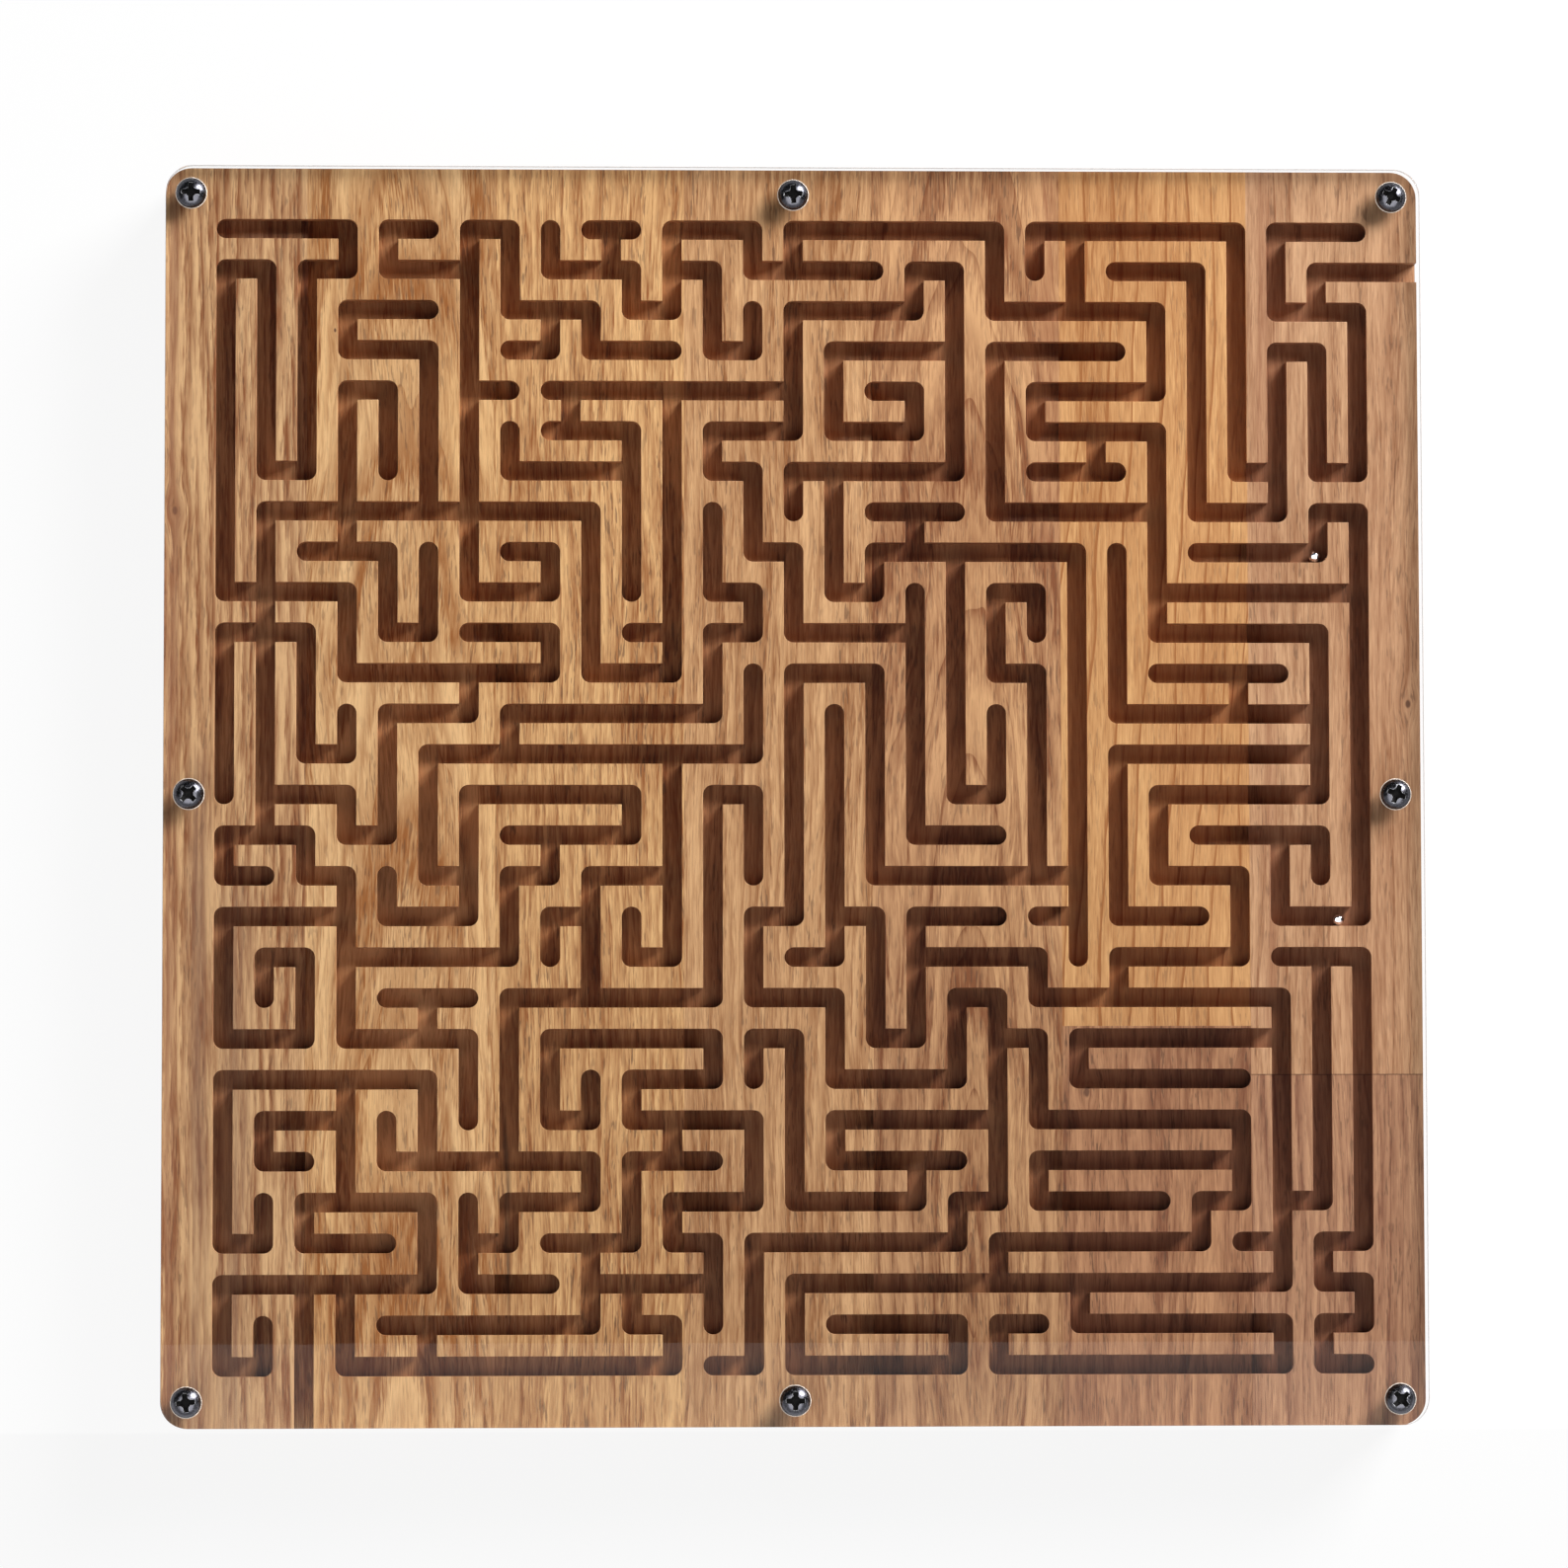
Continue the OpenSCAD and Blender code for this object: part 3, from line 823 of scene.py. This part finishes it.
class MazeScrews(bpy.types.Operator):
    """Model one pan-head screw with a cross recess, and set its eight copies"""

    bl_idname = "maze.set_screws"
    bl_label = "Set cover screws"

    def execute(self, context):
        sizes = context.scene.maze_sizes
        colours = context.scene.maze_colours
        finishes = [
            screw_material(colours.screw), worn_material(colours.worn), recess_shade_material(),
            rim_highlight_material(colours.burr)]
        head = self.head(sizes)
        for finish in finishes:
            head.data.materials.append(finish)
        # The burr's faces take the pale colour, a painted highlight round the head.
        burr = COVER_TOP + sizes.burr_height + SAME
        for face in head.data.polygons:
            if face.center.z < burr and face.center.xy.length > BURR_FROM * sizes.head_width:
                face.material_index = BURR_HIGHLIGHT
        for cutter in (self.wing(sizes, 0), self.wing(sizes, 90), self.core(sizes)):
            self.cut(head, cutter, finishes)
        merge(head)
        self.ease(head, sizes)
        smooth(head)
        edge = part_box("oak_stave_7_upper")[1].x - sizes.screw_inset
        for number, (across, up, turn) in enumerate(SCREW_PLACES, 1):
            piece = bpy.data.objects.new(f"cover_screw_{number}", head.data.copy())
            context.scene.collection.objects.link(piece)
            set_place = Matrix.Translation((across * edge, up * edge, 0))
            piece.data.transform(set_place @ Matrix.Rotation(math.radians(turn), 4, "Z"))
            stand_for(piece, "cover_screws", "board")
        bpy.data.objects.remove(head)
        return {"FINISHED"}

    def head(self, sizes):
        """The dome cut from a ball, its shoulder, a thin burr on the cover, and the core with its tip."""
        centre = HEAD_TOP - sizes.head_dome
        half = sizes.head_width / 2
        wide = half - sizes.head_shoulder
        level = centre + math.sqrt(sizes.head_dome ** 2 - wide ** 2)
        clear_selection()
        bpy.ops.mesh.primitive_uv_sphere_add(
            segments=64, ring_count=96, radius=sizes.head_dome, location=(0, 0, centre))
        head = bpy.context.object
        bpy.ops.object.transform_apply(location=True, rotation=False, scale=False)
        bpy.ops.object.mode_set(mode="EDIT")
        bpy.ops.mesh.select_all(action="SELECT")
        bpy.ops.mesh.bisect(
            plane_co=(0, 0, level), plane_no=(0, 0, 1), clear_inner=True, use_fill=True, threshold=FINE_CUT)
        burr = COVER_TOP + sizes.burr_height
        drop = level - burr
        foot = COVER_TOP - sizes.core_length
        profile = [
            (half - SHOULDER_UPPER * sizes.head_shoulder, level - drop / 3),
            (half - SHOULDER_LOWER * sizes.head_shoulder, level - 2 * drop / 3),
            (half, burr),
            (sizes.burr_width / 2, COVER_TOP),
            (sizes.core_width / 2, COVER_TOP),
            (sizes.core_width / 2, foot),
            (TIP_RADIUS * sizes.core_width, foot - sizes.tip_length),
        ]
        for next_wide, next_level in profile:
            move = Vector((0, 0, next_level - level))
            scale = next_wide / wide
            bpy.ops.mesh.extrude_region_move(TRANSFORM_OT_translate={"value": move})
            bpy.ops.transform.resize(value=(scale, scale, 1.0), center_override=(0, 0, 0))
            wide = next_wide
            level = next_level
        bpy.ops.object.mode_set(mode="OBJECT")
        return head

    def wing(self, sizes, turn):
        """A cutter for one tapered wing of the cross recess."""
        low = HEAD_TOP - sizes.recess_depth
        clear_selection()
        bpy.ops.mesh.primitive_cube_add(size=1.0, location=(0, 0, low))
        wing = bpy.context.object
        bpy.ops.object.transform_apply(location=True, rotation=False, scale=False)
        for corner in wing.data.vertices:
            bottom = corner.co.z < low
            length, width = WING_FOOT if bottom else WING_TOP
            corner.co.x = math.copysign(length * sizes.recess_span / 2, corner.co.x)
            corner.co.y = math.copysign(width * sizes.recess_wing / 2, corner.co.y)
            corner.co.z = low if bottom else HEAD_TOP + CUT_ABOVE
        wing.data.transform(Matrix.Rotation(math.radians(turn), 4, "Z"))
        return wing

    def core(self, sizes):
        """A cutter for the round core of the recess, which eases the corners between its wings."""
        deep = sizes.recess_depth + CUT_ABOVE
        clear_selection()
        bpy.ops.mesh.primitive_cone_add(
            vertices=40, radius1=CORE_FOOT, radius2=CORE_TOP * sizes.recess_core, depth=deep,
            location=(0, 0, HEAD_TOP + CUT_ABOVE - deep / 2))
        core = bpy.context.object
        bpy.ops.object.transform_apply(location=True, rotation=False, scale=False)
        return core

    def cut(self, head, cutter, finishes):
        """The cutter is taken out of the head, and leaves walls with the recess's painted shade."""
        for finish in finishes:
            cutter.data.materials.append(finish)
        for face in cutter.data.polygons:
            face.material_index = RECESS
        take(head)
        cut = head.modifiers.new("recess", "BOOLEAN")
        cut.operation = "DIFFERENCE"
        cut.solver = "EXACT"
        cut.object = cutter
        use(cut)
        bpy.data.objects.remove(cutter)

    def ease(self, head, sizes):
        """The edges of the recess in the dome are rounded, and take the worn finish."""
        centre = Vector((0, 0, HEAD_TOP - sizes.head_dome))

        def on_dome(a, b):
            """An edge whose ends lie on the dome, away from the head's own edge."""
            inside = max(a.xy.length, b.xy.length) < RECESS_WITHIN * sizes.head_width
            off = max(abs((end - centre).length - sizes.head_dome) for end in (a, b))
            return inside and off < DOME_SLACK

        select_corners(head, on_dome)
        bpy.ops.mesh.bevel(offset=WORN_EDGE, segments=2, clamp_overlap=True, material=WORN)
        merge(head)


# How often each edge of a ball's first cube is halved.
BALL_LEVELS = 5


class MazeBalls(bpy.types.Operator):
    """Model the two polished steel balls, each on its own body"""

    bl_idname = "maze.polish_balls"
    bl_label = "Polish steel balls"

    def execute(self, context):
        steel = ball_material(context.scene.maze_colours.ball)
        for node in ("upper_ball", "lower_ball"):
            low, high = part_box(node)
            clear_selection()
            bpy.ops.mesh.primitive_cube_add(size=high.z - low.z, location=(low + high) / 2)
            piece = context.object
            piece.name = node + "_polished"
            piece.data.name = piece.name
            finer = piece.modifiers.new("finer", "SUBSURF")
            finer.subdivision_type = "SIMPLE"
            finer.levels = BALL_LEVELS
            finer.render_levels = BALL_LEVELS
            use(finer)
            round_out = piece.modifiers.new("round", "CAST")
            round_out.factor = 1.0
            round_out.size = (high.z - low.z) / 2
            round_out.use_radius_as_size = False
            use(round_out)
            bpy.ops.object.shade_smooth()
            bpy.ops.object.transform_apply(location=True, rotation=True, scale=True)
            piece.data.materials.append(steel)
            stand_for(piece, node, node)
        return {"FINISHED"}


# The floor's width and its depth under the board, the share of white that the camera and mirrors see on it,
# and the colour and strength of the faint fill from all round.
FLOOR_WIDTH = 8.0
FLOOR_DEPTH = 0.2 * MM
FLOOR_WHITE = 0.91
FILL_COLOUR = (0.92, 0.96, 1.0)
FILL_STRENGTH = 0.035

# Each lamp's place, the point it is turned to, its power in watts, and its width and height in metres.
LAMPS = {
    "soft_key": ((1.2, 1.15, 0.70), (0, 0, WOOD_TOP), 79.5, (0.9, 0.9)),
    "table_glow": ((0, -0.157, 0.365), (0, 1.0, 0.365), 2.6, (1.6, 0.73)),
    "ceiling_glow": ((0, -0.7, 1.1), (0, -0.7, 0), 95.0, (2.6, 3.0)),
}

# The camera's sensor width and focal length in millimetres, its place, and its turn in degrees.
VIEW_SENSOR = 36.0
VIEW_LENS = 136.02
VIEW_PLACE = (-51.87 * MM, -88.21 * MM, 1474.3 * MM)
VIEW_TURN = (3.573, -1.939, -0.103)


class MazeStage(bpy.types.Operator):
    """Set the pale floor, the soft studio light and the camera"""

    bl_idname = "maze.set_stage"
    bl_label = "Set the stage"

    def execute(self, context):
        self.floor(context)
        self.world(context)
        self.lamps(context)
        self.camera(context)
        context.scene.view_settings.view_transform = "Standard"
        return {"FINISHED"}

    def floor(self, context):
        """A pale floor that looks nearly white to the camera and in mirrors, and keeps the board's shadow."""
        clear_selection()
        bpy.ops.mesh.primitive_plane_add(size=FLOOR_WIDTH, location=(0, 0, -FLOOR_DEPTH))
        floor = context.object
        floor.name = "pale_floor"
        material, nodes, out = new_material("pale_floor")
        matt = nodes.add("BsdfDiffuse", {"Color": opaque(context.scene.maze_colours.floor)})
        glow = nodes.add("Emission", {"Color": WHITE, "Strength": 1.0})
        path = nodes.add("LightPath")
        seen = nodes.math("MAXIMUM", path.outputs["Is Camera Ray"], path.outputs["Is Glossy Ray"])
        seen = nodes.math("MAXIMUM", seen, path.outputs["Is Transmission Ray"])
        share = nodes.math("MULTIPLY", seen, FLOOR_WHITE)
        mixed = nodes.add("MixShader", {0: share, 1: matt.outputs[0], 2: glow.outputs[0]})
        nodes.feed(out, mixed.outputs[0])
        floor.data.materials.append(material)

    def world(self, context):
        """White where the camera looks past the floor, and a faint cool fill for everything else."""
        world = bpy.data.worlds.new("studio")
        world.use_nodes = True
        world.node_tree.nodes.clear()
        nodes = Nodes(world.node_tree)
        path = nodes.add("LightPath")
        white = nodes.add("Background", {"Color": WHITE, "Strength": 1.0})
        fill = nodes.add("Background", {"Color": opaque(FILL_COLOUR), "Strength": FILL_STRENGTH})
        seen = path.outputs["Is Camera Ray"]
        mixed = nodes.add("MixShader", {0: seen, 1: fill.outputs[0], 2: white.outputs[0]})
        nodes.add("OutputWorld", {"Surface": mixed.outputs[0]})
        context.scene.world = world

    def lamps(self, context):
        """The lamps, of which the ceiling's glow lights only the screws and the balls."""
        lamps = {name: self.lamp(context, name, *values) for name, values in LAMPS.items()}
        shiny = bpy.data.collections.new("shiny pieces")
        for piece in context.scene.objects:
            if piece.name.startswith("cover_screw_") or piece.name.endswith("_polished"):
                shiny.objects.link(piece)
        lamps["ceiling_glow"].light_linking.receiver_collection = shiny

    def lamp(self, context, name, place, target, power, size):
        """A flat lamp that is turned to its target, and that the camera doesn't see."""
        light = bpy.data.lights.new(name, "AREA")
        light.shape = "RECTANGLE"
        light.size, light.size_y = size
        light.energy = power
        lamp = bpy.data.objects.new(name, light)
        lamp.location = place
        lamp.rotation_euler = (Vector(target) - Vector(place)).to_track_quat("-Z", "Y").to_euler()
        lamp.visible_camera = False
        context.scene.collection.objects.link(lamp)
        return lamp

    def camera(self, context):
        """The camera, nearly square to the maze's face."""
        view = bpy.data.cameras.new("view")
        view.sensor_width = VIEW_SENSOR
        view.lens = VIEW_LENS
        camera = bpy.data.objects.new("view", view)
        camera.location = VIEW_PLACE
        camera.rotation_euler = [math.radians(turn) for turn in VIEW_TURN]
        context.scene.collection.objects.link(camera)
        context.scene.camera = camera


class MazePanel(bpy.types.Panel):
    """Lists the steps and the values of the maze board"""

    bl_idname = "MAZE_PT_board"
    bl_label = "Maze board"
    bl_space_type = "VIEW_3D"
    bl_region_type = "UI"
    bl_category = "Maze board"

    def draw(self, context):
        for step in STEPS:
            self.layout.operator(step.bl_idname)
        for group in (context.scene.maze_sizes, context.scene.maze_colours):
            for name in group.bl_rna.properties.keys():
                if name not in ("rna_type", "name"):
                    self.layout.prop(group, name)


STEPS = (MazeStaves, MazeCover, MazeScrews, MazeBalls, MazeStage)
CLASSES = (MazeSizes, MazeColours, *STEPS, MazePanel)


def register():
    for item in CLASSES:
        bpy.utils.register_class(item)
    bpy.types.Scene.maze_sizes = PointerProperty(type=MazeSizes)
    bpy.types.Scene.maze_colours = PointerProperty(type=MazeColours)


def unregister():
    del bpy.types.Scene.maze_sizes
    del bpy.types.Scene.maze_colours
    for item in reversed(CLASSES):
        bpy.utils.unregister_class(item)


def main():
    """Dresses the board step by step."""
    register()
    bpy.ops.maze.dress_staves()
    bpy.ops.maze.dress_cover()
    bpy.ops.maze.set_screws()
    bpy.ops.maze.polish_balls()
    bpy.ops.maze.set_stage()


if __name__ == "__main__":
    main()
